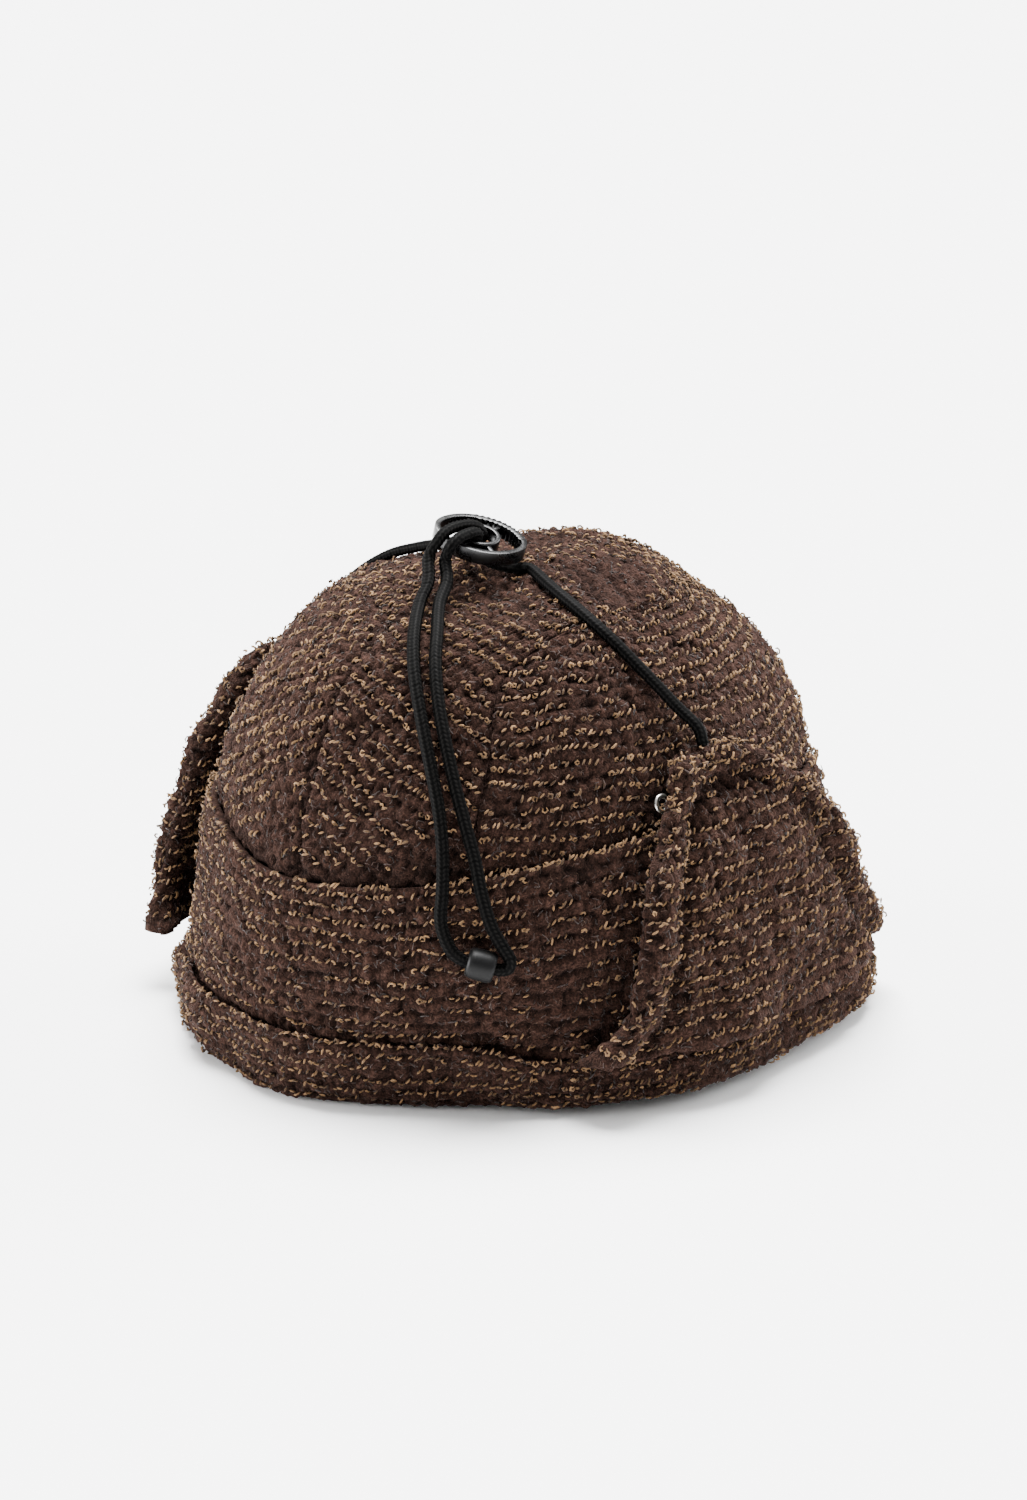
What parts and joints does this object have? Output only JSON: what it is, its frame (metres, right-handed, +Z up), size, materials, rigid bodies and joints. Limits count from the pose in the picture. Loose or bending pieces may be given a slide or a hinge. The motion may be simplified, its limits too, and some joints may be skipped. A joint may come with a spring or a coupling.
{
  "type": "knitted ear-flap hat",
  "caption": "Soft knitted winter hat with a panelled rounded crown, a turned-up edge and ear flaps folded up and tied over the crown by a cord with a cord lock.",
  "frame": {"origin": "middle of the head opening, on the surface that the hat's rim rests on", "axes": "+Z up through the crown, -Y toward the wearer's brow, +X toward the wearer's left ear"},
  "size_m": [0.1953, 0.2165, 0.1486],
  "materials": {
    "brown_knit": "looped brown and tan yarn, knitted, matte",
    "black_cord": "flat black braid, matte",
    "black_plastic": "black moulded plastic, glossy",
    "matte_bead": "black moulded plastic, satin",
    "eyelet_metal": "bright pressed metal"
  },
  "bodies": {
    "root": {"crown_side_left": "brown_knit", "crown_side_right": "brown_knit", "crown_front_left": "brown_knit", "crown_front_right": "brown_knit", "crown_back_left": "brown_knit", "crown_back_right": "brown_knit", "band": "brown_knit", "edge_cuff": "brown_knit", "ear_flap_left": "brown_knit", "ear_flap_right": "brown_knit", "tie_cord": "black_cord", "cord_lock": "black_plastic", "cord_bead": "matte_bead", "side_eyelet_left": "eyelet_metal", "side_eyelet_right": "eyelet_metal"}
  },
  "joints": []
}
